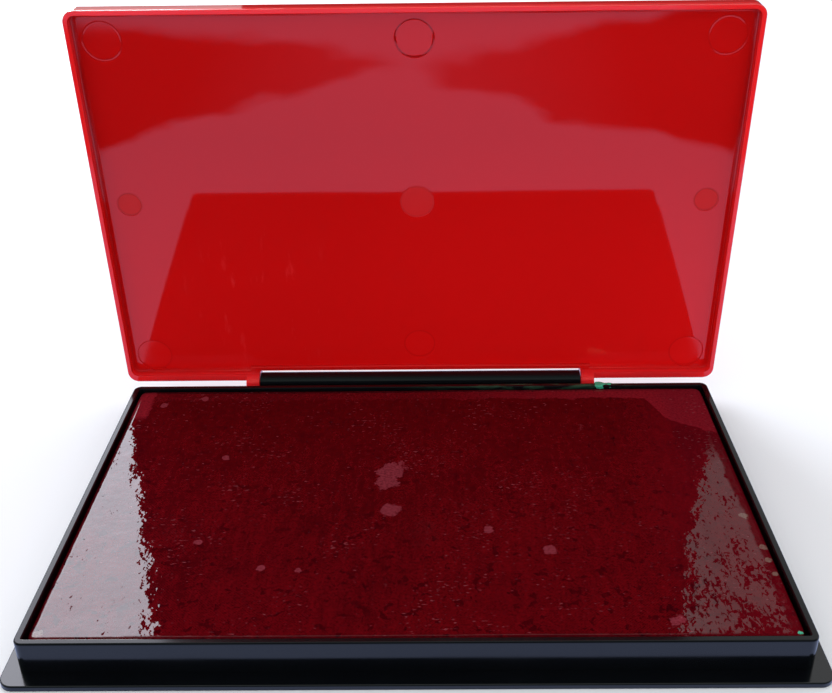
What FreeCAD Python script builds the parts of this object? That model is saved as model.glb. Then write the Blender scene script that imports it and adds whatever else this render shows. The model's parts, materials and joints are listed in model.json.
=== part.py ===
import FreeCAD, Part

import math
import os

import Sketcher

# Hinged-lid ink pad for rubber stamps, in millimetres.
# X runs along the hinge, -Y is the open front edge, +Z is up.
# The origin is the centre of the tray's flat underside.
# The lid is drawn closed with the hinge axis as its own origin, then turned open.

doc = FreeCAD.newDocument("ink_pad")

# ---------------------------------------------------------------- dimensions
sheet = doc.addObject("Spreadsheet::Sheet", "dims")

DIMENSIONS = [
    ("tray_length", 151.0, "outside of the upright wall, along the hinge"),
    ("tray_width", 92.3, "outside of the upright wall, front to back"),
    ("tray_height", 8.25, "rim above the table"),
    ("tray_wall", 1.5, "upright wall thickness"),
    ("tray_floor", 1.3, "floor thickness"),
    ("tray_corner", 1.8, "outer corner radius of the wall"),
    ("rim_round", 0.35, "rounding of the rim edges"),
    ("flange_length", 157.0, "foot flange, along the hinge"),
    ("flange_width", 99.3, "foot flange, front to back"),
    ("flange_thick", 1.1, "foot flange thickness"),
    ("flange_corner", 3.0, "foot flange corner radius"),
    ("flange_round", 0.3, "rounding of the flange's top edge"),
    ("hinge_y", 51.3, "hinge axis behind the tray's centre"),
    ("hinge_z", 5.85, "hinge axis above the table"),
    ("barrel_radius", 2.95, "hinge barrel radius"),
    ("barrel_half", 42.8, "half the barrel's length"),
    ("socket_radius", 1.35, "blind socket in each barrel end"),
    ("socket_depth", 4.0, "blind socket depth"),
    ("web_bottom", 3.9, "underside of the web that carries the barrel"),
    ("web_top", 6.6, "top of the web that carries the barrel"),
    ("lid_length", 157.0, "lid, along the hinge"),
    ("lid_width", 100.1, "lid, front to back"),
    ("lid_plate", 1.3, "lid plate thickness"),
    ("lid_depth", 2.85, "inner depth of the lid"),
    ("lid_wall", 1.3, "side and front wall thickness"),
    ("lid_hinge_wall", 2.05, "hinge-side wall thickness"),
    ("lid_corner", 2.8, "outer corner radius of the lid"),
    ("lid_round", 0.5, "rounding of the lid's outer face edge"),
    ("lid_rim_round", 0.25, "rounding of the lid's rim edges"),
    ("lid_floor_round", 1.0, "rounding between the lid's inner face and its walls"),
    ("lid_back", 0.9, "hinge axis behind the lid's back face, closed"),
    ("lid_rim", 0.27, "hinge axis above the lid's rim, closed"),
    ("knuckle_inner", 43.05, "inner face of each lid knuckle"),
    ("knuckle_outer", 46.5, "outer face of each lid knuckle"),
    ("knuckle_radius", 2.9, "lid knuckle radius"),
    ("stub_radius", 1.28, "stub pin on each knuckle"),
    ("stub_length", 3.4, "stub pin length"),
    ("rib_width", 1.2, "rib along the hinge notch"),
    ("rib_depth", 0.9, "height of the rib along the hinge notch"),
    ("rib_round", 0.45, "rounding of the rib's free edge"),
    ("rib_half", 45.6, "half the rib's length"),
    ("mark_depth", 0.12, "depth of the round moulding marks"),
    ("mark_column", 71.2, "side columns of marks from the centre"),
    ("mark_front", 92.4, "front row of marks from the lid's back face"),
    ("mark_middle", 51.4, "middle row of marks from the lid's back face"),
    ("mark_back_side", 6.8, "back corner marks from the lid's back face"),
    ("mark_back_centre", 9.75, "back centre mark from the lid's back face"),
    ("mark_large", 4.7, "radius of the front and back marks"),
    ("mark_small", 3.2, "radius of the middle side marks"),
    ("mark_medium", 4.3, "radius of the centre mark"),
    ("open_angle", 86.1, "lid opening from closed, degrees"),
    ("pad_length", 146.6, "cloth cover, along the hinge"),
    ("pad_width", 88.6, "cloth cover, front to back"),
    ("pad_corner", 1.2, "cloth cover corner radius"),
    ("pad_top", 7.45, "cloth surface above the table"),
    ("pad_round", 0.5, "rounding of the cloth's top edge"),
    ("cloth_thick", 0.4, "cloth thickness"),
    ("cloth_gap", 0.05, "room between the cloth and what it covers"),
    ("tape_thick", 0.2, "adhesive strip thickness"),
    ("tape_length", 120.0, "adhesive strip length"),
    ("tape_width", 14.0, "adhesive strip width"),
    ("tape_offset", 28.0, "adhesive strip centre from the tray's centre"),
    ("board_thick", 1.0, "backing board thickness"),
]

for row, (alias, value, meaning) in enumerate(DIMENSIONS, start=1):
    sheet.set("A%d" % row, alias)
    sheet.set("B%d" % row, "%g" % value)
    sheet.set("C%d" % row, meaning)
    sheet.setAlias("B%d" % row, alias)
doc.recompute()

SIZE = {alias: float(sheet.get(alias)) for alias, value, meaning in DIMENSIONS}


# ------------------------------------------------------------------- helpers
def new_body(label):
    body = doc.addObject("PartDesign::Body", label)
    body.Label = label
    return body


def origin_plane(body, role):
    for feature in body.Origin.OriginFeatures:
        if feature.Role == role:
            return feature
    raise RuntimeError("no origin plane " + role)


def bind(feature, values):
    for prop, formula in values.items():
        feature.setExpression(prop, formula)


def new_sketch(body, name, role, offsets):
    sketch = body.newObject("Sketcher::SketchObject", name)
    sketch.AttachmentSupport = [(origin_plane(body, role), "")]
    sketch.MapMode = "FlatFace"
    for axis, formula in offsets.items():
        sketch.setExpression("AttachmentOffset.Base." + axis, formula)
    return sketch


def name_constraint(sketch, constraint, name, formula):
    index = sketch.addConstraint(constraint)
    sketch.renameConstraint(index, name)
    sketch.setExpression("Constraints." + name, formula)
    return index


def rounded_rectangle(body, name, length, width, radius, offsets, role="XY_Plane"):
    """A rectangle about the sketch's origin with equal corner arcs, bound to formulas."""
    sketch = new_sketch(body, name, role, offsets)
    half_x, half_y, corner = 40.0, 30.0, 3.0
    flat_x, flat_y = half_x - corner, half_y - corner
    point = FreeCAD.Vector
    up = point(0, 0, 1)
    bottom = Part.LineSegment(point(-flat_x, -half_y), point(flat_x, -half_y))
    right = Part.LineSegment(point(half_x, -flat_y), point(half_x, flat_y))
    top = Part.LineSegment(point(flat_x, half_y), point(-flat_x, half_y))
    left = Part.LineSegment(point(-half_x, flat_y), point(-half_x, -flat_y))
    for line in (bottom, right, top, left):
        sketch.addGeometry(line)
    quarter = math.pi / 2
    centres = [(flat_x, -flat_y, -1), (flat_x, flat_y, 0), (-flat_x, flat_y, 1), (-flat_x, -flat_y, 2)]
    for centre_x, centre_y, turn in centres:
        circle = Part.Circle(point(centre_x, centre_y), up, corner)
        sketch.addGeometry(Part.ArcOfCircle(circle, turn * quarter, (turn + 1) * quarter))
    for side in range(4):
        arc = 4 + side
        sketch.addConstraint(Sketcher.Constraint("Tangent", side, 2, arc, 1))
        sketch.addConstraint(Sketcher.Constraint("Tangent", arc, 2, (side + 1) % 4, 1))
    sketch.addConstraint(Sketcher.Constraint("Horizontal", 0))
    sketch.addConstraint(Sketcher.Constraint("Vertical", 1))
    sketch.addConstraint(Sketcher.Constraint("Horizontal", 2))
    sketch.addConstraint(Sketcher.Constraint("Vertical", 3))
    for arc in (5, 6, 7):
        sketch.addConstraint(Sketcher.Constraint("Equal", 4, arc))
    sketch.addConstraint(Sketcher.Constraint("Symmetric", 4, 3, 6, 3, -1, 1))
    name_constraint(sketch, Sketcher.Constraint("Radius", 4, corner), "corner", radius)
    name_constraint(sketch, Sketcher.Constraint("DistanceX", 7, 3, 4, 3, 2 * flat_x), "flat_x",
                    "(%s) - 2 * (%s)" % (length, radius))
    name_constraint(sketch, Sketcher.Constraint("DistanceY", 4, 3, 5, 3, 2 * flat_y), "flat_y",
                    "(%s) - 2 * (%s)" % (width, radius))
    return sketch


def circle_sketch(body, name, radius, role, offsets):
    sketch = new_sketch(body, name, role, offsets)
    sketch.addGeometry(Part.Circle(FreeCAD.Vector(0, 0), FreeCAD.Vector(0, 0, 1), 1.0))
    sketch.addConstraint(Sketcher.Constraint("Coincident", 0, 3, -1, 1))
    name_constraint(sketch, Sketcher.Constraint("Radius", 0, 1.0), "radius", radius)
    return sketch


def box_sketch(body, name, low_x, high_x, low_y, high_y, role, offsets):
    """A rectangle given by where its four sides lie from the sketch's origin."""
    sketch = new_sketch(body, name, role, offsets)
    point = FreeCAD.Vector
    corners = [point(-9, -8), point(7, -8), point(7, 6), point(-9, 6)]
    for index in range(4):
        sketch.addGeometry(Part.LineSegment(corners[index], corners[(index + 1) % 4]))
    for index in range(4):
        sketch.addConstraint(Sketcher.Constraint("Coincident", index, 2, (index + 1) % 4, 1))
    for index in (0, 2):
        sketch.addConstraint(Sketcher.Constraint("Horizontal", index))
    for index in (1, 3):
        sketch.addConstraint(Sketcher.Constraint("Vertical", index))
    name_constraint(sketch, Sketcher.Constraint("DistanceX", -1, 1, 0, 1, -9.0), "low_x", low_x)
    name_constraint(sketch, Sketcher.Constraint("DistanceX", -1, 1, 1, 1, 7.0), "high_x", high_x)
    name_constraint(sketch, Sketcher.Constraint("DistanceY", -1, 1, 0, 1, -8.0), "low_y", low_y)
    name_constraint(sketch, Sketcher.Constraint("DistanceY", -1, 1, 2, 1, 6.0), "high_y", high_y)
    return sketch


def pad(body, name, sketch, length, backwards=False):
    feature = body.newObject("PartDesign::Pad", name)
    feature.Profile = sketch
    feature.setExpression("Length", length)
    feature.Reversed = backwards
    doc.recompute()
    return feature


def pocket(body, name, sketch, length, backwards=False):
    """Cut away along the sketch's back side, or its front side when backwards."""
    before = body.Shape.Volume
    feature = body.newObject("PartDesign::Pocket", name)
    feature.Profile = sketch
    feature.setExpression("Length", length)
    feature.Reversed = backwards
    doc.recompute()
    if body.Shape.Volume > before - 1e-3:
        raise RuntimeError(name + " removes nothing")
    return feature


def edges_where(shape, test):
    return ["Edge%d" % number for number, edge in enumerate(shape.Edges, start=1) if test(edge)]


def fillet(body, name, test, radius):
    base = body.Tip
    names = edges_where(base.Shape, test)
    if not names:
        raise RuntimeError(name + " finds no edge")
    feature = body.newObject("PartDesign::Fillet", name)
    feature.Base = (base, names)
    feature.setExpression("Radius", radius)
    doc.recompute()
    return feature


def lies_at_height(height):
    def test(edge):
        box = edge.BoundBox
        return abs(box.ZMin - height) < 1e-4 and abs(box.ZMax - height) < 1e-4
    return test


# ----------------------------------------------------------------- base tray
tray = new_body("base_tray")
flange_sketch = rounded_rectangle(tray, "flange_outline", "dims.flange_length", "dims.flange_width",
                                  "dims.flange_corner", {})
pad(tray, "flange", flange_sketch, "dims.flange_thick")
fillet(tray, "flange_edge", lies_at_height(SIZE["flange_thick"]), "dims.flange_round")

wall_sketch = rounded_rectangle(tray, "wall_outline", "dims.tray_length", "dims.tray_width",
                                "dims.tray_corner", {})
pad(tray, "wall_block", wall_sketch, "dims.tray_height")

cavity_sketch = rounded_rectangle(tray, "cavity_outline", "dims.tray_length - 2 * dims.tray_wall",
                                  "dims.tray_width - 2 * dims.tray_wall",
                                  "dims.tray_corner - dims.tray_wall", {"z": "dims.tray_height"})
pocket(tray, "cavity", cavity_sketch, "dims.tray_height - dims.tray_floor")
fillet(tray, "rim_edges", lies_at_height(SIZE["tray_height"]), "dims.rim_round")

web_sketch = box_sketch(tray, "web_outline", "dims.tray_width / 2 - dims.tray_wall / 2", "dims.hinge_y",
                        "dims.web_bottom", "dims.web_top", "YZ_Plane", {"z": "-dims.barrel_half"})
pad(tray, "barrel_web", web_sketch, "2 * dims.barrel_half")
barrel_sketch = circle_sketch(tray, "barrel_outline", "dims.barrel_radius", "YZ_Plane",
                              {"x": "dims.hinge_y", "y": "dims.hinge_z", "z": "-dims.barrel_half"})
pad(tray, "barrel", barrel_sketch, "2 * dims.barrel_half")
for side_name, sign in (("left", "-"), ("right", "")):
    socket_sketch = circle_sketch(tray, "socket_outline_" + side_name, "dims.socket_radius", "YZ_Plane",
                                  {"x": "dims.hinge_y", "y": "dims.hinge_z", "z": sign + "dims.barrel_half"})
    pocket(tray, "socket_" + side_name, socket_sketch, "dims.socket_depth", side_name == "left")

# ----------------------------------------------------------------------- lid
# Heights and depths below are from the hinge axis, with the lid closed.
LID_CENTRE = "-dims.lid_back - dims.lid_width / 2"
CEILING = "-dims.lid_rim + dims.lid_depth"
OUTER_FACE = CEILING + " + dims.lid_plate"
ABOVE_ROUNDING = CEILING + " - dims.lid_floor_round"
BACK_FACE = "-dims.lid_back"
NOTCH_EDGE = BACK_FACE + " - dims.lid_hinge_wall"

lid = new_body("lid")
lid_sketch = rounded_rectangle(lid, "lid_outline", "dims.lid_length", "dims.lid_width", "dims.lid_corner",
                               {"y": LID_CENTRE, "z": "-dims.lid_rim"})
pad(lid, "lid_block", lid_sketch, "dims.lid_depth + dims.lid_plate")
outer_height = SIZE["lid_depth"] + SIZE["lid_plate"] - SIZE["lid_rim"]
fillet(lid, "lid_outer_edge", lies_at_height(outer_height), "dims.lid_round")

hollow_sketch = rounded_rectangle(
    lid, "hollow_outline", "dims.lid_length - 2 * dims.lid_wall",
    "dims.lid_width - dims.lid_wall - dims.lid_hinge_wall", "dims.lid_corner - dims.lid_wall",
    {"y": LID_CENTRE + " - (dims.lid_hinge_wall - dims.lid_wall) / 2", "z": "-dims.lid_rim"})
pocket(lid, "hollow", hollow_sketch, "dims.lid_depth", True)
ceiling_height = SIZE["lid_depth"] - SIZE["lid_rim"]
fillet(lid, "hollow_edge", lies_at_height(ceiling_height), "dims.lid_floor_round")
fillet(lid, "lid_rim_edges", lies_at_height(-SIZE["lid_rim"]), "dims.lid_rim_round")

notch_sketch = box_sketch(lid, "notch_outline", "-dims.knuckle_inner", "dims.knuckle_inner", NOTCH_EDGE,
                          "dims.lid_back", "XY_Plane", {"z": OUTER_FACE})
pocket(lid, "notch", notch_sketch, "dims.lid_depth + dims.lid_plate")

rib_sketch = box_sketch(lid, "rib_outline", "-dims.rib_half", "dims.rib_half",
                        NOTCH_EDGE + " - dims.rib_width", NOTCH_EDGE, "XY_Plane", {"z": CEILING})
pad(lid, "notch_rib", rib_sketch, "dims.rib_depth", True)
rib_height = ceiling_height - SIZE["rib_depth"]
rib_front = -SIZE["lid_back"] - SIZE["lid_hinge_wall"] - SIZE["rib_width"]


def is_rib_edge(edge):
    box = edge.BoundBox
    low_enough = abs(box.ZMax - rib_height) < 1e-4
    in_front = abs(box.YMax - rib_front) < 1e-4 and abs(box.YMin - rib_front) < 1e-4
    return low_enough and in_front and box.XLength > SIZE["rib_half"]


fillet(lid, "rib_edge", is_rib_edge, "dims.rib_round")

MARKS = []
for side_name, sign in (("left", "-"), ("right", "")):
    column = sign + "dims.mark_column"
    MARKS.append(("front_" + side_name, column, "dims.mark_front", "dims.mark_large"))
    MARKS.append(("middle_" + side_name, column, "dims.mark_middle", "dims.mark_small"))
    MARKS.append(("back_" + side_name, column, "dims.mark_back_side", "dims.mark_large"))
MARKS.append(("front_centre", "0", "dims.mark_front", "dims.mark_large"))
MARKS.append(("middle_centre", "0", "dims.mark_middle", "dims.mark_medium"))
MARKS.append(("back_centre", "0", "dims.mark_back_centre", "dims.mark_large"))
for mark_name, column, distance, radius in MARKS:
    mark_sketch = circle_sketch(lid, "mark_outline_" + mark_name, radius, "XY_Plane",
                                {"x": column, "y": BACK_FACE + " - " + distance, "z": ABOVE_ROUNDING})
    pocket(lid, "mark_" + mark_name, mark_sketch, "dims.lid_floor_round + dims.mark_depth", True)

for side_name, sign in (("left", "-"), ("right", "")):
    knuckle_sketch = circle_sketch(lid, "knuckle_outline_" + side_name, "dims.knuckle_radius", "YZ_Plane",
                                   {"z": sign + "dims.knuckle_inner"})
    pad(lid, "knuckle_" + side_name, knuckle_sketch, "dims.knuckle_outer - dims.knuckle_inner",
        side_name == "left")
    stub_sketch = circle_sketch(lid, "stub_outline_" + side_name, "dims.stub_radius", "YZ_Plane",
                                {"z": sign + "dims.knuckle_inner"})
    pad(lid, "stub_" + side_name, stub_sketch, "dims.stub_length", side_name == "right")

lid.Placement = FreeCAD.Placement(
    FreeCAD.Vector(0, SIZE["hinge_y"], SIZE["hinge_z"]),
    FreeCAD.Rotation(FreeCAD.Vector(1, 0, 0), -SIZE["open_angle"]))
bind(lid, {
    "Placement.Base.y": "dims.hinge_y",
    "Placement.Base.z": "dims.hinge_z",
    "Placement.Rotation.Angle": "-dims.open_angle",
})

# ----------------------------------------------------------- what the tray holds
INNER_LENGTH = "dims.pad_length - 2 * (dims.cloth_thick + dims.cloth_gap)"
INNER_WIDTH = "dims.pad_width - 2 * (dims.cloth_thick + dims.cloth_gap)"
INNER_CORNER = "dims.pad_corner - dims.cloth_thick - dims.cloth_gap"
BOARD_BOTTOM = "dims.tray_floor + dims.tape_thick"
FELT_BOTTOM = BOARD_BOTTOM + " + dims.board_thick"
FELT_TOP = "dims.pad_top - dims.cloth_thick - dims.cloth_gap"

strips = []
for strip_name, sign in (("adhesive_strip_front", "-"), ("adhesive_strip_back", "")):
    strip = doc.addObject("Part::Box", strip_name)
    strip.Label = strip_name
    bind(strip, {
        "Length": "dims.tape_length",
        "Width": "dims.tape_width",
        "Height": "dims.tape_thick",
        "Placement.Base.x": "-dims.tape_length / 2",
        "Placement.Base.y": sign + "dims.tape_offset - dims.tape_width / 2",
        "Placement.Base.z": "dims.tray_floor",
    })
    strips.append(strip)

board = new_body("backing_board")
board_sketch = rounded_rectangle(board, "board_outline", INNER_LENGTH, INNER_WIDTH, INNER_CORNER,
                                 {"z": BOARD_BOTTOM})
pad(board, "board_plate", board_sketch, "dims.board_thick")

felt = new_body("pad_felt")
felt_sketch = rounded_rectangle(felt, "felt_outline", INNER_LENGTH, INNER_WIDTH, INNER_CORNER,
                                {"z": FELT_BOTTOM})
pad(felt, "felt_block", felt_sketch, FELT_TOP + " - (" + FELT_BOTTOM + ")")

cloth = new_body("pad_cloth")
cloth_sketch = rounded_rectangle(cloth, "cloth_outline", "dims.pad_length", "dims.pad_width",
                                 "dims.pad_corner", {"z": BOARD_BOTTOM})
pad(cloth, "cloth_block", cloth_sketch, "dims.pad_top - (" + BOARD_BOTTOM + ")")
fillet(cloth, "cloth_edge", lies_at_height(SIZE["pad_top"]), "dims.pad_round")
lining_sketch = rounded_rectangle(cloth, "lining_outline", "dims.pad_length - 2 * dims.cloth_thick",
                                  "dims.pad_width - 2 * dims.cloth_thick",
                                  "dims.pad_corner - dims.cloth_thick", {"z": BOARD_BOTTOM})
pocket(cloth, "lining", lining_sketch,
       "dims.pad_top - dims.cloth_thick - (" + BOARD_BOTTOM + ")", True)

# -------------------------------------------------------------- check and write
doc.recompute()
parts = [tray, lid, cloth, felt, board] + strips

for item in doc.Objects:
    if "Invalid" in item.State or "Error" in item.State:
        raise RuntimeError(item.Name + " failed to build")
for item in parts:
    shape = item.Shape
    if shape.isNull() or not shape.isValid() or len(shape.Solids) != 1:
        raise RuntimeError(item.Label + " is not one valid solid")

os.makedirs("parts", exist_ok=True)
for item in parts:
    item.Shape.exportStep("parts/" + item.Label + ".step")
    box = item.Shape.BoundBox
    print(item.Label, round(item.Shape.Volume, 1),
          [round(value, 3) for value in (box.XMin, box.XMax, box.YMin, box.YMax, box.ZMin, box.ZMax)])
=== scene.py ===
import json
import math

import bmesh
import bpy
from mathutils import Matrix, Vector, noise


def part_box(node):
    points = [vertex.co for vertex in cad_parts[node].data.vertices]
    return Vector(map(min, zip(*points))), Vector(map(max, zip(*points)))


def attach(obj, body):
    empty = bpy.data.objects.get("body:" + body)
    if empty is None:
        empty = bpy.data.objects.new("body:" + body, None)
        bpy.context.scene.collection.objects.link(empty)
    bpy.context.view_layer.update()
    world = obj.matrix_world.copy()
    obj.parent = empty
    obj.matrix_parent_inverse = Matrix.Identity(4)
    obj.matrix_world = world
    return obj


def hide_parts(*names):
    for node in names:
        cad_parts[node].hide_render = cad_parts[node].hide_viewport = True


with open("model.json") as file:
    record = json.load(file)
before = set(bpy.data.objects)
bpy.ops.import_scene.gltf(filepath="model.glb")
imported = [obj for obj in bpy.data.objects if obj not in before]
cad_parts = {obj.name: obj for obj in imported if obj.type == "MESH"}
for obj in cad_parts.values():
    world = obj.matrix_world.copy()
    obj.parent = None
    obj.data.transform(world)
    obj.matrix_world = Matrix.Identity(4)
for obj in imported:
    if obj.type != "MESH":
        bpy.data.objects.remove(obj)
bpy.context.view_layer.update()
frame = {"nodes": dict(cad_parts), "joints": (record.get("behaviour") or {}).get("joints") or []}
MM = 0.001
NODES = frame["nodes"]


# ------------------------------------------------------------------ node helpers
def new_material(name):
    material = bpy.data.materials.new(name)
    material.use_nodes = True
    tree = material.node_tree
    shader = tree.nodes["Principled BSDF"]
    return material, tree, shader


def link(tree, source, target):
    tree.links.new(source, target)


def feed(tree, socket, value):
    """Sets a socket to a number or a colour, or links another socket to it."""
    if isinstance(value, (int, float)):
        socket.default_value = value
    elif isinstance(value, tuple):
        socket.default_value = (*value, 1.0)
    else:
        link(tree, value, socket)


def coordinates(tree):
    return tree.nodes.new("ShaderNodeTexCoord").outputs["Object"]


def axes_of(tree, vector):
    node = tree.nodes.new("ShaderNodeSeparateXYZ")
    link(tree, vector, node.inputs["Vector"])
    return node.outputs["X"], node.outputs["Y"], node.outputs["Z"]


def normal_axes(tree):
    return axes_of(tree, tree.nodes.new("ShaderNodeTexCoord").outputs["Normal"])


def noise_of(tree, vector, scale, detail=2.0, roughness=0.5, distortion=0.0):
    node = tree.nodes.new("ShaderNodeTexNoise")
    node.inputs["Scale"].default_value = scale
    node.inputs["Detail"].default_value = detail
    node.inputs["Roughness"].default_value = roughness
    node.inputs["Distortion"].default_value = distortion
    link(tree, vector, node.inputs["Vector"])
    return node.outputs["Fac"]


def stretched_noise(tree, vector, scales, detail, roughness=0.5, distortion=0.0):
    """Noise with a scale of its own along each axis."""
    mapping = tree.nodes.new("ShaderNodeMapping")
    mapping.inputs["Scale"].default_value = scales
    link(tree, vector, mapping.inputs["Vector"])
    return noise_of(tree, mapping.outputs["Vector"], 1.0, detail, roughness, distortion)


def ramp(tree, value, low, high, to_low=0.0, to_high=1.0):
    """Maps low..high to to_low..to_high, and holds the end values outside it."""
    node = tree.nodes.new("ShaderNodeMapRange")
    node.inputs["From Min"].default_value = low
    node.inputs["From Max"].default_value = high
    node.inputs["To Min"].default_value = to_low
    node.inputs["To Max"].default_value = to_high
    link(tree, value, node.inputs["Value"])
    return node.outputs["Result"]


def math_of(tree, operation, *values):
    node = tree.nodes.new("ShaderNodeMath")
    node.operation = operation
    for socket, value in zip(node.inputs, values):
        feed(tree, socket, value)
    return node.outputs["Value"]


def folded(tree, operation, values):
    result = values[0]
    for value in values[1:]:
        result = math_of(tree, operation, result, value)
    return result


def times(tree, *values):
    return folded(tree, "MULTIPLY", values)


def plus(tree, *values):
    return folded(tree, "ADD", values)


def minus(tree, first, second):
    return math_of(tree, "SUBTRACT", first, second)


def highest(tree, *values):
    return folded(tree, "MAXIMUM", values)


def mixed(tree, factor, first, second):
    node = tree.nodes.new("ShaderNodeMix")
    node.data_type = "RGBA"
    colour_a, colour_b = (socket for socket in node.inputs if socket.type == "RGBA")
    feed(tree, node.inputs["Factor"], factor)
    feed(tree, colour_a, first)
    feed(tree, colour_b, second)
    return next(socket for socket in node.outputs if socket.type == "RGBA")


def bump(tree, height, distance=1.0):
    node = tree.nodes.new("ShaderNodeBump")
    node.inputs["Strength"].default_value = 1.0
    node.inputs["Distance"].default_value = distance
    link(tree, height, node.inputs["Height"])
    return node.outputs["Normal"]


def disc(tree, vector, place, radius, soft):
    """1 inside a disc or ball of that radius, fading to 0 over the soft edge."""
    node = tree.nodes.new("ShaderNodeVectorMath")
    node.operation = "DISTANCE"
    link(tree, vector, node.inputs[0])
    node.inputs[1].default_value = place
    return ramp(tree, node.outputs["Value"], radius - soft, radius, 1.0, 0.0)


# -------------------------------------------------------------- the lid's places
JOINT = frame["joints"][0]
HINGE = Vector(JOINT["pos_m"])
LEAN = math.radians(-JOINT["range_deg"][0])
LID_BACK = 0.9 * MM
LID_INNER = 2.58 * MM

# The lid's moulding marks stand in three rows, each with one mark in the middle and one at either side. A
# mark's rise is its height above the lid's hinge-side face, matt is how dull its disc is, and ring is how
# dark the ring round it is.
MARK_COLUMN = 71.2 * MM
TOP_ROW = {
    "side": {"rise": 92.4 * MM, "radius": 4.7 * MM, "matt": 0.05, "ring": 0.3},
    "middle": {"rise": 92.4 * MM, "radius": 4.7 * MM, "matt": 0.05, "ring": 1.0},
}
MIDDLE_ROW = {
    "side": {"rise": 51.4 * MM, "radius": 3.2 * MM, "matt": 1.0, "ring": 0.4},
    "middle": {"rise": 51.4 * MM, "radius": 4.3 * MM, "matt": 1.0, "ring": 0.2},
}
BOTTOM_ROW = {
    "side": {"rise": 6.8 * MM, "radius": 4.7 * MM, "matt": 0.3, "ring": 0.3},
    "middle": {"rise": 9.75 * MM, "radius": 4.3 * MM, "matt": 0.3, "ring": 0.3},
}


def on_lid(x, rise):
    """A point on the lid's inner face at rest, given its height above the hinge-side face."""
    reach = LID_BACK + rise
    y = HINGE.y - reach * math.cos(LEAN) + LID_INNER * math.sin(LEAN)
    z = HINGE.z + reach * math.sin(LEAN) + LID_INNER * math.cos(LEAN)
    return Vector((x, y, z))


def moulding_marks():
    for row in (TOP_ROW, MIDDLE_ROW, BOTTOM_ROW):
        for x, mark in ((-MARK_COLUMN, row["side"]), (0.0, row["middle"]), (MARK_COLUMN, row["side"])):
            yield on_lid(x, mark["rise"]), mark["radius"], mark["matt"], mark["ring"]


# ------------------------------------------------------------------- red plastic
PLATE_RED = (0.42, 0.0040, 0.0042)
PLATE_RED_CLOUDED = (0.47, 0.0050, 0.0052)
# Painted light: the plate is painted brighter low down, standing in for light shining through the
# translucent plastic.
PLATE_RED_PAINTED_GLOW = (0.66, 0.0070, 0.0075)
# Painted shade: the plate is painted darker towards the left, where less light falls on it.
PLATE_RED_PAINTED_SHADE = (0.20, 0.0015, 0.0020)
# Painted light: the thin walls and rim are painted bright, a glow standing in for light passing through
# them.
WALL_RED_PAINTED_GLOW = (0.96, 0.020, 0.024)
RING_RED = (0.12, 0.0010, 0.0015)
SCUFF_RED = (0.70, 0.06, 0.07)
BOW_RADIUS = 2.3
DISH_SLOPE = 0.004
WAVE_HEIGHT = 0.28 * MM
RING_DEPTH = 0.06 * MM
RING_WIDTH = 0.3 * MM
GLOSSY, MATT = 0.035, 0.42
SHINY, DULL = 0.5, 0.27


def lid_depth(tree, y, z):
    """How far a point lies from the hinge axis through the lid: 2.58 mm at the inner face."""
    along_y = times(tree, minus(tree, y, HINGE.y), math.sin(LEAN))
    along_z = times(tree, minus(tree, z, HINGE.z), math.cos(LEAN))
    return plus(tree, along_y, along_z)


def plate_colour(tree, where, depth):
    """Deep red, with painted light and shade: a painted glow low down and in the thin walls, painted shade
    on the left.
    """
    x, _, z = axes_of(tree, where)
    cloud = noise_of(tree, where, 18.0, 2.0)
    plate = mixed(tree, cloud, PLATE_RED, PLATE_RED_CLOUDED)
    # Painted light: brighter towards the bottom.
    glow_painted_plate = mixed(tree, ramp(tree, z, 75 * MM, 5 * MM), plate, PLATE_RED_PAINTED_GLOW)
    # Painted shade: darker towards the left.
    shade_painted_plate = mixed(tree, ramp(tree, x, -78 * MM, 10 * MM, 0.26, 0.0), glow_painted_plate, PLATE_RED_PAINTED_SHADE)
    # Painted glow in the thin walls, weaker on the left wall.
    wall_glow = ramp(tree, depth, 1.6 * MM, 0.0)
    off_left_wall = ramp(tree, x, -78 * MM, -72 * MM, 0.6, 1.0)
    return mixed(tree, times(tree, wall_glow, off_left_wall), shade_painted_plate, WALL_RED_PAINTED_GLOW)


def mark_masks(tree, where):
    """The moulding marks' discs, each as strong as it is matt, and the rings round them."""
    discs, rings = [], []
    for place, radius, matt, ring in moulding_marks():
        inside = disc(tree, where, place, radius, RING_WIDTH)
        core = disc(tree, where, place, radius - RING_WIDTH, RING_WIDTH)
        discs.append(times(tree, inside, matt))
        rings.append(times(tree, minus(tree, inside, core), ring))
    return highest(tree, *discs), highest(tree, *rings)


def lid_relief(tree, where, ringed):
    """The plate's slight bow, dish and waves, and the rings' grooves."""
    x, _, z = axes_of(tree, where)
    facing = normal_axes(tree)[1]
    bow = times(tree, x, x, facing, -0.5 / BOW_RADIUS)
    dish = times(tree, z, facing, -DISH_SLOPE)
    wave = times(tree, noise_of(tree, where, 16.0, 1.0), WAVE_HEIGHT)
    return plus(tree, bow, dish, wave, times(tree, ringed, -RING_DEPTH))


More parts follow.
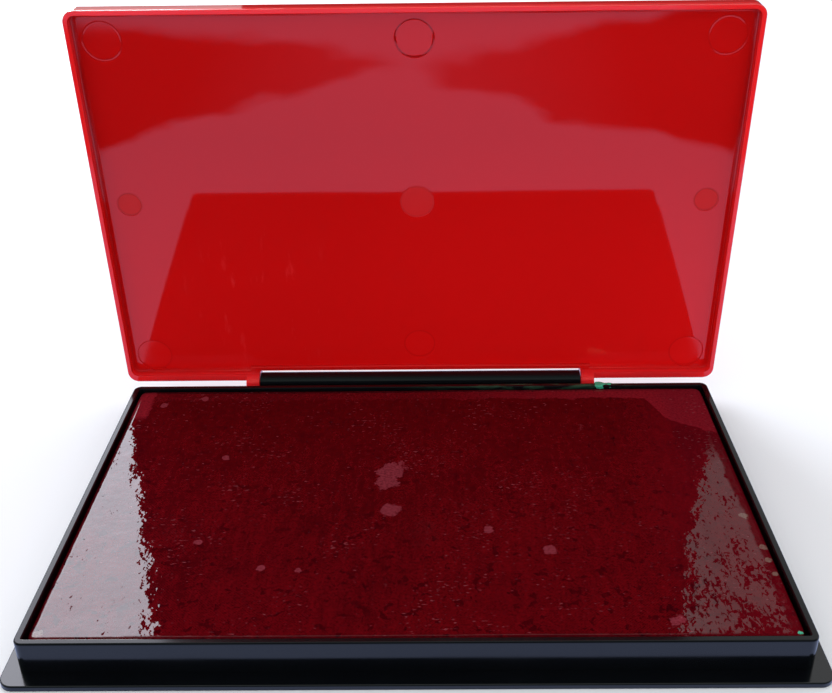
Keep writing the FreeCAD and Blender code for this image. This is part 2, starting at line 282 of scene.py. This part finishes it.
def red_plastic():
    """Glossy moulded red, a little translucent, its broad plate very slightly bowed and wavy."""
    material, tree, shader = new_material("lid_red_plastic")
    where = coordinates(tree)
    _, y, z = axes_of(tree, where)
    depth = lid_depth(tree, y, z)
    inside_lid = ramp(tree, depth, 2.8 * MM, 2.7 * MM)
    discs, rings = mark_masks(tree, where)
    matt_marks = times(tree, discs, inside_lid)
    ringed = times(tree, rings, inside_lid)

    scuffed = disc(tree, where, on_lid(-41 * MM, 22 * MM), 26 * MM, 18 * MM)
    streaks = ramp(tree, stretched_noise(tree, where, (420.0, 90.0, 90.0), 4.0, 0.6), 0.60, 0.70)
    scuffs = times(tree, scuffed, streaks, inside_lid)
    ring_marked = mixed(tree, times(tree, ringed, 0.75), plate_colour(tree, where, depth), RING_RED)
    rubbed = mixed(tree, times(tree, scuffs, 0.35), ring_marked, SCUFF_RED)

    link(tree, rubbed, shader.inputs["Base Color"])
    link(tree, ramp(tree, matt_marks, 0.0, 1.0, GLOSSY, MATT), shader.inputs["Roughness"])
    link(tree, ramp(tree, matt_marks, 0.0, 1.0, SHINY, DULL), shader.inputs["Specular IOR Level"])
    link(tree, bump(tree, lid_relief(tree, where, ringed)), shader.inputs["Normal"])
    shader.inputs["IOR"].default_value = 1.5
    shader.inputs["Subsurface Weight"].default_value = 0.5
    shader.inputs["Subsurface Radius"].default_value = (0.005, 0.0005, 0.0004)
    shader.inputs["Subsurface Scale"].default_value = 1.0
    return material


# ----------------------------------------------------------------- black plastic
TRAY_BLACK = (0.0016, 0.0022, 0.0032)
TRAY_BLACK_CLOUDED = (0.0030, 0.0036, 0.0048)
STAIN_GREEN = (0.020, 0.060, 0.034)


def rim_stain(tree, where):
    """Green ink smeared along the back rim, to the left of the dried drop."""
    x, y, z = axes_of(tree, where)
    on_back_wall = times(tree, ramp(tree, y, 44.2 * MM, 44.8 * MM), ramp(tree, y, 46.8 * MM, 46.4 * MM))
    near_top = ramp(tree, z, 7.0 * MM, 7.8 * MM)
    smeared = times(tree, ramp(tree, x, -4 * MM, 24 * MM), ramp(tree, x, 60 * MM, 52 * MM))
    streaky = ramp(tree, stretched_noise(tree, where, (160.0, 900.0, 900.0), 3.0), 0.44, 0.6)
    return times(tree, on_back_wall, near_top, smeared, streaky)


def black_plastic():
    """Glossy moulded black with faint rubbed patches, duller on the top of the rim."""
    material, tree, shader = new_material("tray_black_plastic")
    where = coordinates(tree)
    z = axes_of(tree, where)[2]
    cloud = noise_of(tree, where, 60.0, 3.0)
    plain = mixed(tree, cloud, TRAY_BLACK, TRAY_BLACK_CLOUDED)
    wave = times(tree, noise_of(tree, where, 60.0, 1.0), 0.06 * MM)
    grain = times(tree, noise_of(tree, where, 1500.0, 2.0), 0.002 * MM)
    link(tree, mixed(tree, rim_stain(tree, where), plain, STAIN_GREEN), shader.inputs["Base Color"])
    link(tree, ramp(tree, cloud, 0.3, 0.7, 0.10, 0.17), shader.inputs["Roughness"])
    link(tree, ramp(tree, z, 7.7 * MM, 8.2 * MM, 0.5, 0.24), shader.inputs["Specular IOR Level"])
    link(tree, bump(tree, plus(tree, wave, grain)), shader.inputs["Normal"])
    shader.inputs["IOR"].default_value = 1.48
    return material


# ------------------------------------------------------------------- inked cloth
INK_DEEP = (0.036, 0.0006, 0.0028)
INK_CLOUDED = (0.100, 0.0016, 0.0042)
INK_STREAK = (0.140, 0.0020, 0.0052)
INK_BACK = (0.026, 0.0003, 0.0020)
INK_FRONT = (0.150, 0.0020, 0.0050)
# Painted shade between the threads.
INK_SHADE_BETWEEN_THREADS = (0.018, 0.0002, 0.0016)
INK_PIT = (0.026, 0.0003, 0.0022)
INK_MOTTLE = (0.165, 0.0050, 0.0100)
INK_THINNED = (0.27, 0.0140, 0.0260)
INK_RIGHT = (0.150, 0.0030, 0.0080)
INK_DRIED = (0.215, 0.030, 0.045)
LINT_BEIGE = (0.26, 0.19, 0.15)
SPECK_PINK = (0.24, 0.060, 0.075)
THREAD_PITCH = 0.62 * MM
THREAD_HEIGHT = 0.03 * MM
BROAD_WAVE = 0.10 * MM
FINE_WAVE = 0.085 * MM
TILT_FROM = -36 * MM
FILM_TILT = 0.022

# Where dried ink makes the cloth paler, and where lint has caught on its edge: centre and radius in mm.
BLOTCHES = (
    (-6.0, 9.2, 3.7),
    (-7.2, 4.8, 3.1),
    (-6.3, -5.4, 2.5),
    (15.3, -12.5, 1.2),
    (28.0, -19.4, 1.6),
    (-45.9, 14.7, 1.0),
    (-46.5, -16.2, 1.0),
    (-31.9, -24.2, 1.0),
    (-24.2, -25.1, 0.9),
    (50.4, -39.8, 1.6),
    (-55.9, 40.8, 1.0),
    (-66.0, 38.0, 1.0),
)
LINT = (
    (71.0, -8.6, 1.0),
    (72.4, -19.0, 0.9),
    (72.4, -23.0, 0.8),
    (72.4, -27.0, 0.8),
    (-71.6, -42.4, 1.2),
)


def strands(tree, where, pitch):
    """A plain weave's height, from 0 to 1, with threads of that pitch both ways."""
    x, y, _ = axes_of(tree, where)
    turns = 2 * math.pi / pitch
    across = math_of(tree, "SINE", times(tree, x, turns))
    along = math_of(tree, "SINE", times(tree, y, turns))
    return ramp(tree, times(tree, across, along), -1.0, 1.0)


def ragged_spots(tree, where, spots, raggedness):
    """The mask of a few spots on the pad, each with a ragged, patchy outline."""
    x, y, _ = axes_of(tree, where)
    on_pad = tree.nodes.new("ShaderNodeCombineXYZ")
    feed(tree, on_pad.inputs["X"], x)
    feed(tree, on_pad.inputs["Y"], y)
    fades = []
    for spot_x, spot_y, radius in spots:
        place = (spot_x * MM, spot_y * MM, 0.0)
        fades.append(disc(tree, on_pad.outputs["Vector"], place, 1.5 * radius * MM, 1.1 * radius * MM))
    coarse = ramp(tree, noise_of(tree, where, 420.0, 2.0), 0.3, 0.7, -0.55, 0.55)
    fine = ramp(tree, noise_of(tree, where, 1100.0, 4.0, 0.75), 0.3, 0.7, -0.45, 0.45)
    rough = times(tree, plus(tree, coarse, fine), raggedness)
    return ramp(tree, plus(tree, highest(tree, *fades), rough), 0.50, 0.64)


def woven_ink(tree, where, weave, grain):
    """The soaked cloth: painted shade between its threads, darker to the back, streaked, pitted and
    mottled.
    """
    y = axes_of(tree, where)[1]
    cloud = noise_of(tree, where, 60.0, 5.0, 0.6)
    streaks = stretched_noise(tree, where, (520.0, 150.0, 1.0), 3.0)
    deep = mixed(tree, ramp(tree, cloud, 0.3, 0.7), INK_DEEP, INK_CLOUDED)
    streaked = mixed(tree, times(tree, ramp(tree, streaks, 0.42, 0.66), 0.6), deep, INK_STREAK)
    backed = mixed(tree, ramp(tree, y, -6 * MM, 44 * MM, 0.0, 0.40), streaked, INK_BACK)
    fronted = mixed(tree, ramp(tree, y, 0.0, -44 * MM, 0.0, 0.30), backed, INK_FRONT)
    # Painted shade: the gaps between the threads are painted darker, where the threads shade them.
    between = times(tree, plus(tree, weave, ramp(tree, grain, 0.60, 0.35)), 0.42)
    woven = mixed(tree, between, fronted, INK_SHADE_BETWEEN_THREADS)
    unpitted = ramp(tree, noise_of(tree, where, 480.0, 2.0), 0.33, 0.40)
    pitted = mixed(tree, unpitted, INK_PIT, woven)
    mottle = ramp(tree, stretched_noise(tree, where, (900.0, 620.0, 1.0), 3.0, 0.65), 0.52, 0.72)
    mottling = times(tree, mottle, ramp(tree, y, -44 * MM, 10 * MM, 0.14, 0.34))
    return mixed(tree, mottling, pitted, INK_MOTTLE)


def thinned_ink(tree, where):
    """Where the ink has thinned: the back edge, widest at the right, and the back left corner."""
    x, y, _ = axes_of(tree, where)
    tatter = noise_of(tree, where, 260.0, 5.0, 0.6)
    step = ramp(tree, x, 58 * MM, 62 * MM, 1.8 * MM, 11.3 * MM)
    corner = ramp(tree, x, 62 * MM, 73 * MM, 0.0, 7 * MM)
    edge = plus(tree, y, plus(tree, step, corner), times(tree, tatter, 4 * MM))
    reach = ramp(tree, x, 4 * MM, 60 * MM, 0.15, 0.90)
    back_strip = times(tree, ramp(tree, edge, 43.5 * MM, 44.0 * MM), reach)
    from_left = minus(tree, x, times(tree, tatter, 3 * MM))
    at_left = ramp(tree, from_left, -70.4 * MM, -71.0 * MM)
    left_patch = times(tree, at_left, ramp(tree, y, 31 * MM, 33 * MM), 0.8)
    return highest(tree, back_strip, left_patch)


def cloth_colour(tree, where, weave, grain, pale):
    x = axes_of(tree, where)[0]
    fibres = stretched_noise(tree, where, (1500.0, 2600.0, 1.0), 2.0, 0.6)
    thinned = times(tree, thinned_ink(tree, where), ramp(tree, fibres, 0.32, 0.66, 0.35, 1.0))
    rinsed = mixed(tree, thinned, woven_ink(tree, where, weave, grain), INK_THINNED)
    righted = mixed(tree, ramp(tree, x, 48 * MM, 66 * MM, 0.0, 0.45), rinsed, INK_RIGHT)
    pale_fibres = times(tree, pale, ramp(tree, fibres, 0.30, 0.62, 0.35, 1.0))
    blotched = mixed(tree, pale_fibres, righted, INK_DRIED)
    lint = times(tree, ragged_spots(tree, where, LINT, 0.48), grain, 0.9)
    linty = mixed(tree, lint, blotched, LINT_BEIGE)
    clusters = ramp(tree, noise_of(tree, where, 90.0, 3.0), 0.42, 0.66, 0.74, 0.63)
    dashes = stretched_noise(tree, where, (760.0, 1900.0, 1.0), 1.0)
    specks = ramp(tree, minus(tree, dashes, clusters), 0.0, 0.08)
    return mixed(tree, times(tree, specks, 0.55), linty, SPECK_PINK)


def wet_film(tree, where, pale):
    """The ink's wet film: whole on the left, broken by pores to the right, gone at the right and front
    edges."""
    x, y, _ = axes_of(tree, where)
    pores = stretched_noise(tree, where, (1150.0, 620.0, 1.0), 3.0, 0.6, 0.7)
    patches = ramp(tree, noise_of(tree, where, 130.0, 3.0), 0.35, 0.65, 0.06, -0.09)
    front = times(tree, ramp(tree, y, -14 * MM, -42 * MM, 0.0, 0.13), ramp(tree, x, 40 * MM, 60 * MM))
    thin = plus(tree, ramp(tree, x, 30 * MM, 66 * MM, 0.30, 0.40), plus(tree, patches, front))
    film = ramp(tree, minus(tree, pores, thin), -0.01, 0.03)
    share = ramp(tree, x, 48 * MM, 62 * MM, 1.0, 0.62)
    wander = times(tree, noise_of(tree, where, 200.0, 3.0), 3 * MM)
    right_edge = ramp(tree, plus(tree, x, wander), 72.4 * MM, 73.0 * MM, 1.0, 0.1)
    right_back = ramp(tree, plus(tree, minus(tree, y, x), wander), -57 * MM, -49 * MM, 1.0, 0.1)
    right_corner = highest(tree, right_back, ramp(tree, x, 62 * MM, 64 * MM, 1.0, 0.0))
    flat = ramp(tree, normal_axes(tree)[2], 0.96, 0.99)
    front_edge = highest(tree, ramp(tree, y, -43.7 * MM, -43.0 * MM), ramp(tree, x, -50 * MM, -56 * MM))
    over_pale = ramp(tree, pale, 0.0, 1.0, 1.0, 0.4)
    return times(tree, film, share, right_edge, right_corner, flat, front_edge, over_pale)


def inked_cloth():
    """Fine cloth soaked with dark red ink: a wet film over the weave, with pores, specks and blotches."""
    material, tree, shader = new_material("inked_cloth")
    where = coordinates(tree)
    x = axes_of(tree, where)[0]
    weave = strands(tree, where, THREAD_PITCH)
    grain = noise_of(tree, where, 1900.0, 2.0, 0.7)
    pale = ragged_spots(tree, where, BLOTCHES, 0.48)
    broad = times(tree, noise_of(tree, where, 120.0, 1.0), BROAD_WAVE)
    fine = times(tree, noise_of(tree, where, 330.0, 2.5, 0.6), FINE_WAVE)
    tilt = times(tree, highest(tree, minus(tree, TILT_FROM, x), 0.0), FILM_TILT)
    threads = times(tree, plus(tree, weave, grain), THREAD_HEIGHT)
    link(tree, cloth_colour(tree, where, weave, grain, pale), shader.inputs["Base Color"])
    link(tree, wet_film(tree, where, pale), shader.inputs["Coat Weight"])
    link(tree, bump(tree, plus(tree, broad, tilt, fine)), shader.inputs["Coat Normal"])
    link(tree, bump(tree, plus(tree, broad, threads)), shader.inputs["Normal"])
    shader.inputs["Roughness"].default_value = 0.7
    shader.inputs["Specular IOR Level"].default_value = 0.0
    shader.inputs["Coat Roughness"].default_value = 0.025
    shader.inputs["Coat IOR"].default_value = 1.5
    return material


def plain_material(name, first, second, roughness, grain_scale):
    material, tree, shader = new_material(name)
    cloud = noise_of(tree, coordinates(tree), grain_scale, 4.0)
    link(tree, mixed(tree, cloud, first, second), shader.inputs["Base Color"])
    link(tree, bump(tree, cloud, 0.1 * MM), shader.inputs["Normal"])
    shader.inputs["Roughness"].default_value = roughness
    return material


RED = red_plastic()
BLACK = black_plastic()
CLOTH = inked_cloth()
FELT = plain_material("inked_felt", (0.12, 0.006, 0.015), (0.2, 0.014, 0.03), 0.9, 600.0)
BOARD = plain_material("grey_board", (0.3, 0.28, 0.24), (0.42, 0.39, 0.34), 0.85, 400.0)
STRIP = plain_material("adhesive_strip", (0.72, 0.7, 0.62), (0.85, 0.83, 0.77), 0.5, 300.0)

NODE_MATERIALS = {
    "base_tray": BLACK,
    "lid": RED,
    "backing_board": BOARD,
    "adhesive_strip_front": STRIP,
    "adhesive_strip_back": STRIP,
}
for node_name, node_material in NODE_MATERIALS.items():
    node_mesh = NODES[node_name].data
    node_mesh.materials.clear()
    node_mesh.materials.append(node_material)


# ------------------------------------------------------------------- pad pieces
COVER_CORNER = 1.2 * MM
COVER_ROLL = 0.3 * MM
COVER_CELLS = (180, 110)
CLOTH_THICKNESS = 0.35 * MM
BLOCK_GAP = 0.06 * MM
BLOCK_CELLS = (90, 55)
CORE_CORNER = 1.6 * MM
CORE_ROLL = 0.8 * MM
CORE_CELLS = (60, 36)
CORE_SINK = 0.4 * MM


def scene_object(name, data):
    piece = bpy.data.objects.new(name, data)
    bpy.context.scene.collection.objects.link(piece)
    return piece


def mesh_object(name, build, material):
    mesh = bpy.data.meshes.new(name)
    shape = bmesh.new()
    build(shape)
    bmesh.ops.recalc_face_normals(shape, faces=shape.faces)
    shape.to_mesh(mesh)
    shape.free()
    for face in mesh.polygons:
        face.use_smooth = True
    mesh.materials.append(material)
    return scene_object(name, mesh)


def rounded_point(u, v, half_x, half_y, radius):
    """Maps the square (-1..1) to a rounded rectangle, keeping an even grid inside it."""
    x, y = u * half_x, v * half_y
    over_x = abs(x) - (half_x - radius)
    over_y = abs(y) - (half_y - radius)
    if over_x > 0 and over_y > 0:
        reach = max(over_x, over_y)
        length = math.hypot(over_x, over_y)
        over_x, over_y = over_x * reach / length, over_y * reach / length
        x = math.copysign(half_x - radius + over_x, x)
        y = math.copysign(half_y - radius + over_y, y)
    return x, y


def rim_keys(cells_x, cells_y):
    """The grid's outline, once round."""
    keys = [(i, 0) for i in range(cells_x)]
    keys += [(cells_x, j) for j in range(cells_y)]
    keys += [(i, cells_y) for i in range(cells_x, 0, -1)]
    keys += [(0, j) for j in range(cells_y, 0, -1)]
    return keys


def skirt_steps(roll, height):
    """How far out and down each ring of the skirt lies: round a quarter turn, then straight down."""
    turns = [math.radians(angle) for angle in (22, 45, 68, 90)]
    steps = [(roll * math.sin(turn), roll * (1 - math.cos(turn))) for turn in turns]
    steps += [(roll, roll + (height - roll) * share) for share in (0.35, 0.7, 1.0)]
    return steps


def build_pad(shape, low, high, corner, roll, cells, lift):
    """A soft block's cover: the top grid and a skirt rolled down round all four sides, whose lowest ring
    it returns."""
    cells_x, cells_y = cells
    half_x, half_y = (high.x - low.x) / 2, (high.y - low.y) / 2
    centre = (high + low) / 2
    grid = {}
    for i in range(cells_x + 1):
        for j in range(cells_y + 1):
            u, v = 2 * i / cells_x - 1, 2 * j / cells_y - 1
            x, y = rounded_point(u, v, half_x - roll, half_y - roll, corner)
            grid[i, j] = shape.verts.new((centre.x + x, centre.y + y, high.z + lift(x, y)))
    for i in range(cells_x):
        for j in range(cells_y):
            shape.faces.new((grid[i, j], grid[i + 1, j], grid[i + 1, j + 1], grid[i, j + 1]))
    rim = [grid[key] for key in rim_keys(cells_x, cells_y)]
    outward = []
    for index in range(len(rim)):
        along = rim[(index + 1) % len(rim)].co - rim[index - 1].co
        outward.append(Vector((along.y, -along.x, 0)).normalized())
    ring = rim
    for out, down in skirt_steps(roll, high.z - low.z):
        sink = Vector((0, 0, -down))
        fresh = [shape.verts.new(start.co + side * out + sink) for start, side in zip(rim, outward)]
        for index in range(len(ring)):
            after = (index + 1) % len(ring)
            shape.faces.new((ring[index], ring[after], fresh[after], fresh[index]))
        ring = fresh
    return ring


def pad_lift(x, y):
    """Gentle unevenness of stretched cloth over felt, never above the CAD surface."""
    broad = noise.noise(Vector((x * 22, y * 22, 3.1)))
    small = noise.noise(Vector((x * 90, y * 90, 7.7)))
    return (-0.12 + 0.10 * broad + 0.04 * small) * MM


cloth_low, cloth_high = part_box("pad_cloth")


def build_cover(shape):
    build_pad(shape, cloth_low, cloth_high, COVER_CORNER, COVER_ROLL, COVER_CELLS, pad_lift)


def build_block(shape):
    """The felt's firm shape just under the cloth, which the cloth settles on."""
    block_high = cloth_high - Vector((BLOCK_GAP, BLOCK_GAP, BLOCK_GAP))
    block_low = cloth_low + Vector((BLOCK_GAP, BLOCK_GAP, 0))
    ring = build_pad(shape, block_low, block_high, COVER_CORNER, COVER_ROLL, BLOCK_CELLS, pad_lift)
    shape.faces.new(ring)


# ------------------------------------------------------------------ cloth at rest
# The simulation runs scaled up, because the solver needs larger lengths than a pad's.
SOLVER_SCALE = 50.0
SOLVER_GAP = 0.004
SOLVER_FRAMES = 24
SLACK_WIDTH = 7 * MM
FREE_WIDTH = 12 * MM
SIDE_DROP = 2 * MM
PUCKER_LIMIT = 0.3 * MM
PUCKER_WIDTH = 9 * MM
PUCKER_FADE = 7 * MM


def from_edge(point):
    """How far in from the pad's nearest edge a point lies."""
    half_x, half_y = (cloth_high.x - cloth_low.x) / 2, (cloth_high.y - cloth_low.y) / 2
    centre = (cloth_high + cloth_low) / 2
    return min(half_x - abs(point.x - centre.x), half_y - abs(point.y - centre.y))


def slack(point):
    """How slack the cloth is: most at the edge, and patchy along it."""
    patchy = 0.5 + 0.5 * noise.noise(Vector((point.x * 60, point.y * 60, 0.4)))
    return max(0.0, 1 - from_edge(point) / SLACK_WIDTH) * patchy


def glued(point):
    """1 in the middle and on the turned-down sides, 0 in the free strip between them."""
    on_side = cloth_high.z - point.z > SIDE_DROP
    return 1.0 if on_side or from_edge(point) > FREE_WIDTH else 0.0


def weight_group(piece, name, weight_of):
    group = piece.vertex_groups.new(name=name)
    for vertex in piece.data.vertices:
        group.add([vertex.index], weight_of(vertex.co), "REPLACE")
    return group.name


def drape(sheet, pinned, loose):
    cloth = sheet.modifiers.new("cloth", "CLOTH")
    cloth.settings.quality = 5
    cloth.settings.mass = 0.3
    cloth.settings.tension_stiffness = 30
    cloth.settings.compression_stiffness = 30
    cloth.settings.bending_stiffness = 1.5
    cloth.settings.vertex_group_mass = pinned
    cloth.settings.vertex_group_shrink = loose
    cloth.settings.shrink_min = 0.0
    cloth.settings.shrink_max = -0.03
    cloth.settings.effector_weights.gravity = 0.2
    cloth.collision_settings.distance_min = SOLVER_GAP
    cloth.collision_settings.use_self_collision = False
    cloth.point_cache.frame_start = 1
    cloth.point_cache.frame_end = SOLVER_FRAMES
    for moment in range(1, SOLVER_FRAMES + 1):
        bpy.context.scene.frame_set(moment)


def settle_cloth(piece):
    """Cloth simulation: the wet cloth is slack near the pad's edges, where it was turned down, and puckers
    there a little. The result goes into the piece's own mesh."""
    sheet = piece.copy()
    sheet.data = piece.data.copy()
    bpy.context.scene.collection.objects.link(sheet)
    pinned = weight_group(sheet, "glued", glued)
    loose = weight_group(sheet, "slack", slack)
    sheet.data.transform(Matrix.Scale(SOLVER_SCALE, 4))
    block = mesh_object("settling_block", build_block, CLOTH)
    block.data.transform(Matrix.Scale(SOLVER_SCALE, 4))
    block.modifiers.new("block", "COLLISION")
    block.collision.thickness_outer = SOLVER_GAP
    drape(sheet, pinned, loose)
    settled = sheet.evaluated_get(bpy.context.evaluated_depsgraph_get()).data
    for vertex, moved in zip(piece.data.vertices, settled.vertices):
        step = moved.co / SOLVER_SCALE - vertex.co
        if step.length > PUCKER_LIMIT:
            step *= PUCKER_LIMIT / step.length
        fade = min(1.0, max(0.0, (PUCKER_WIDTH - from_edge(vertex.co)) / PUCKER_FADE))
        vertex.co += step * fade * fade * (3 - 2 * fade)
    for scratch in (sheet, block):
        bpy.data.objects.remove(scratch)
    bpy.context.scene.frame_set(1)


cover = mesh_object("pad_cover", build_cover, CLOTH)
settle_cloth(cover)
thicken = cover.modifiers.new("cloth_thickness", "SOLIDIFY")
thicken.thickness = CLOTH_THICKNESS
thicken.offset = -1.0
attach(cover, "base")
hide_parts("pad_cloth")

felt_low, felt_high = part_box("pad_felt")


def core_lift(x, y):
    return -CORE_SINK


def build_core(shape):
    ring = build_pad(shape, felt_low, felt_high, CORE_CORNER, CORE_ROLL, CORE_CELLS, core_lift)
    shape.faces.new(ring)


core = mesh_object("pad_core", build_core, FELT)
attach(core, "base")
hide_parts("pad_felt")

# ------------------------------------------------------------------- ink beads
BEAD_GREEN = (0.01, 0.26, 0.14)
BEAD_GREEN_LIGHT = (0.10, 0.70, 0.44)
RIM_HEIGHT = 8.25 * MM
BACK_WALL_Y = cloth_high.y + 1.4 * MM
FRONT_EDGE_Y = cloth_low.y + 1.0 * MM
BEAD_CEILING = RIM_HEIGHT + 0.13 * MM
BEADS = {
    "dried_ink_back": {
        "place": (48.3 * MM, BACK_WALL_Y, 7.8 * MM),
        "half_size": (2.9 * MM, 1.35 * MM, 0.75 * MM),
    },
    "dried_ink_front": {
        "place": (72.5 * MM, FRONT_EDGE_Y, 7.4 * MM),
        "half_size": (0.55 * MM, 0.45 * MM, 0.2 * MM),
    },
}


def dried_ink():
    """Dried dye: deep green with a metallic gleam."""
    material, tree, shader = new_material("dried_ink_green")
    cloud = noise_of(tree, coordinates(tree), 900.0, 3.0)
    link(tree, mixed(tree, cloud, BEAD_GREEN, BEAD_GREEN_LIGHT), shader.inputs["Base Color"])
    link(tree, bump(tree, cloud, 0.2 * MM), shader.inputs["Normal"])
    shader.inputs["Roughness"].default_value = 0.12
    shader.inputs["Metallic"].default_value = 0.2
    return material


def ink_bead(name, place, half_size, material):
    """A dried drop: a flattened, lumpy bead sitting on an edge, low enough to clear the closed lid."""

    def build(shape):
        bmesh.ops.create_icosphere(shape, subdivisions=4, radius=1.0)
        for vertex in shape.verts:
            lump = 1 + 0.22 * noise.noise(vertex.co * 1.7 + Vector(place) / MM)
            waist = 1 - 0.35 * math.exp(-((vertex.co.x - 0.25) / 0.3) ** 2)
            x, y, z = vertex.co * lump
            rise = min(z * half_size[2] * waist, BEAD_CEILING - place[2])
            offset = (x * half_size[0], y * half_size[1] * waist, rise)
            vertex.co = [start + shift for start, shift in zip(place, offset)]

    bead = mesh_object(name, build, material)
    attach(bead, "base")


DRIED = dried_ink()
for bead_name, bead in BEADS.items():
    ink_bead(bead_name, bead["place"], bead["half_size"], DRIED)

# ------------------------------------------------------------------------ stage
FLOOR_GAP = 0.02 * MM
FLOOR_REACH = 4.0
FLOOR_WHITE = (0.86, 0.87, 0.88, 1)
SKY_WHITE = (0.97, 0.985, 1.0, 1)
WINDOW_BLUE = (0.86, 0.87, 1.0)


def flat_piece(name, corners, material):
    """A flat stage piece with four corners."""
    mesh = bpy.data.meshes.new(name)
    mesh.from_pydata(corners, [], [(0, 1, 2, 3)])
    mesh.materials.append(material)
    return scene_object(name, mesh)


def level_square(reach, height):
    ends = ((-reach, -reach), (reach, -reach), (reach, reach), (-reach, reach))
    return [(x, y, height) for x, y in ends]


def soft_light(name, place, target, size, power, colour):
    light = bpy.data.lights.new(name, "AREA")
    light.shape = "RECTANGLE"
    light.size, light.size_y = size
    light.energy = power
    light.color = colour
    holder = scene_object(name, light)
    holder.location = place
    holder.rotation_euler = (Vector(target) - Vector(place)).to_track_quat("-Z", "Y").to_euler()


floor_material, _, floor_shader = new_material("pale_floor")
floor_shader.inputs["Base Color"].default_value = FLOOR_WHITE
floor_shader.inputs["Roughness"].default_value = 0.9
floor = flat_piece("floor", level_square(FLOOR_REACH, 0.0), floor_material)
floor.location.z = -FLOOR_GAP

world = bpy.data.worlds.new("studio")
bpy.context.scene.world = world
world.use_nodes = True
sky = world.node_tree.nodes["Background"]
sky.inputs["Color"].default_value = SKY_WHITE
sky.inputs["Strength"].default_value = 1.0

soft_light("window", (-0.55, 0.95, 0.85), (0, 0, 0), (0.7, 0.6), 7.4, WINDOW_BLUE)
soft_light("low_window", (-0.42, 1.05, 0.27), (0, 0, 0.1), (0.26, 0.16), 2.0, (1, 1, 1))

# --------------------------------------------------------------- reflection cards
CARD_REACH = 2.0
CARD_HEIGHT = 0.1 * MM
CARD_FOOT = 0.01
DAYLIGHT = (0.55, 0.66, 1.05)
PERSON_SHADE = (0.01, 0.01, 0.012)
ROOM_DARK = (0.03, 0.03, 0.035)
CEILING_GREY = (0.34, 0.42, 0.40)
HORIZON_BROWN = (0.12, 0.07, 0.07)

# The shade on the floor is a wedge on each side of the middle. Its near and far borders are straight lines
# that part as they run outward from the wedge's tip, and ripple a little.
WEDGE_MIDDLE = -6 * MM
WEDGE_TIP = 9 * MM
WEDGE_BLEND = 20 * MM
WEDGE_FAR = -216 * MM
LEFT_WEDGE = {"near": -210 * MM, "near_slope": 0.81, "far_slope": -0.42}
RIGHT_WEDGE = {"near": -185 * MM, "near_slope": 0.60, "far_slope": -0.60}


def mirrored_card(name, corners):
    """A glowing card that only reflections see, with its emission node: a painted reflection, not a lamp.
    """
    material = bpy.data.materials.new(name)
    material.use_nodes = True
    tree = material.node_tree
    tree.nodes.clear()
    glow = tree.nodes.new("ShaderNodeEmission")
    end = tree.nodes.new("ShaderNodeOutputMaterial")
    link(tree, glow.outputs["Emission"], end.inputs["Surface"])
    card = flat_piece(name, corners, material)
    card.visible_camera = False
    card.visible_diffuse = False
    card.visible_shadow = False
    card.visible_transmission = False
    return tree, glow


def plain_card(name, corners, colour):
    tree, glow = mirrored_card(name, corners)
    feed(tree, glow.inputs["Color"], colour)


def mirrored_floor():
    """What glossy surfaces see of the floor: cool daylight, with the shade of whoever stands in front."""
    tree, glow = mirrored_card("mirrored_floor", level_square(CARD_REACH, CARD_HEIGHT))
    where = coordinates(tree)
    x, y, _ = axes_of(tree, where)

    def blended(key):
        """The left wedge's value, going over to the right one's across the middle."""
        start, end = WEDGE_MIDDLE - WEDGE_BLEND, WEDGE_MIDDLE + WEDGE_BLEND
        return ramp(tree, x, start, end, LEFT_WEDGE[key], RIGHT_WEDGE[key])

    out = minus(tree, math_of(tree, "ABSOLUTE", minus(tree, x, WEDGE_MIDDLE)), WEDGE_TIP)
    near = plus(tree, times(tree, out, blended("near_slope")), blended("near"))
    far = plus(tree, times(tree, out, blended("far_slope")), WEDGE_FAR)
    ripple = times(tree, noise_of(tree, where, 22.0, 4.0, 0.55), 60 * MM)
    row = minus(tree, y, ripple)
    before = ramp(tree, minus(tree, near, row), -5 * MM, 5 * MM)
    behind = ramp(tree, minus(tree, row, far), -9 * MM, 9 * MM)
    fainter = ramp(tree, out, 0.0, 80 * MM, 0.74, 1.0)
    outside_tip = ramp(tree, out, -9 * MM, 8 * MM)
    shade = times(tree, before, behind, fainter, outside_tip)
    feed(tree, glow.inputs["Color"], mixed(tree, shade, DAYLIGHT, PERSON_SHADE))


def mirrored_room():
    """The dim room in front of the object and its softly lit, sloping ceiling."""
    left, right, front, top = -4.0, 4.0, -1.2, 1.3
    back, peak = 0.2, 2.2
    wall = [(left, front, CARD_FOOT), (right, front, CARD_FOOT), (right, front, top), (left, front, top)]
    ceiling = [(left, front, top), (right, front, top), (right, back, peak), (left, back, peak)]
    plain_card("mirrored_wall", wall, ROOM_DARK)
    plain_card("mirrored_ceiling", ceiling, CEILING_GREY)


def mirrored_horizon():
    """The shaded horizon behind the object, to the right of the low window."""
    left, right, back, top = -0.29, 3.0, 1.4, 0.75
    wall = [(left, back, CARD_FOOT), (right, back, CARD_FOOT), (right, back, top), (left, back, top)]
    plain_card("mirrored_horizon", wall, HORIZON_BROWN)


mirrored_floor()
mirrored_room()
mirrored_horizon()

# ----------------------------------------------------------------------- camera
SENSOR_MM = 36.0
FOCAL_SHARE = 1.26023
SHIFT_X, SHIFT_Y = -0.013017, -0.059639
CAMERA_PLACE = (0.004481, -0.191875, 0.152699)
YAW, PITCH, ROLL = (math.radians(angle) for angle in (-0.567, 26.495, -0.711))

camera_data = bpy.data.cameras.new("camera")
camera_data.sensor_width = SENSOR_MM
camera_data.lens = SENSOR_MM * FOCAL_SHARE
camera_data.shift_x = SHIFT_X
camera_data.shift_y = SHIFT_Y
camera_data.clip_start = 0.01
camera = scene_object("camera", camera_data)
raised = Matrix.Rotation(math.pi / 2 - PITCH, 3, "X")
turn = Matrix.Rotation(-YAW, 3, "Z") @ raised @ Matrix.Rotation(ROLL, 3, "Z")
camera.rotation_euler = turn.to_euler()
camera.location = CAMERA_PLACE
bpy.context.scene.camera = camera
bpy.context.scene.view_settings.view_transform = "Standard"
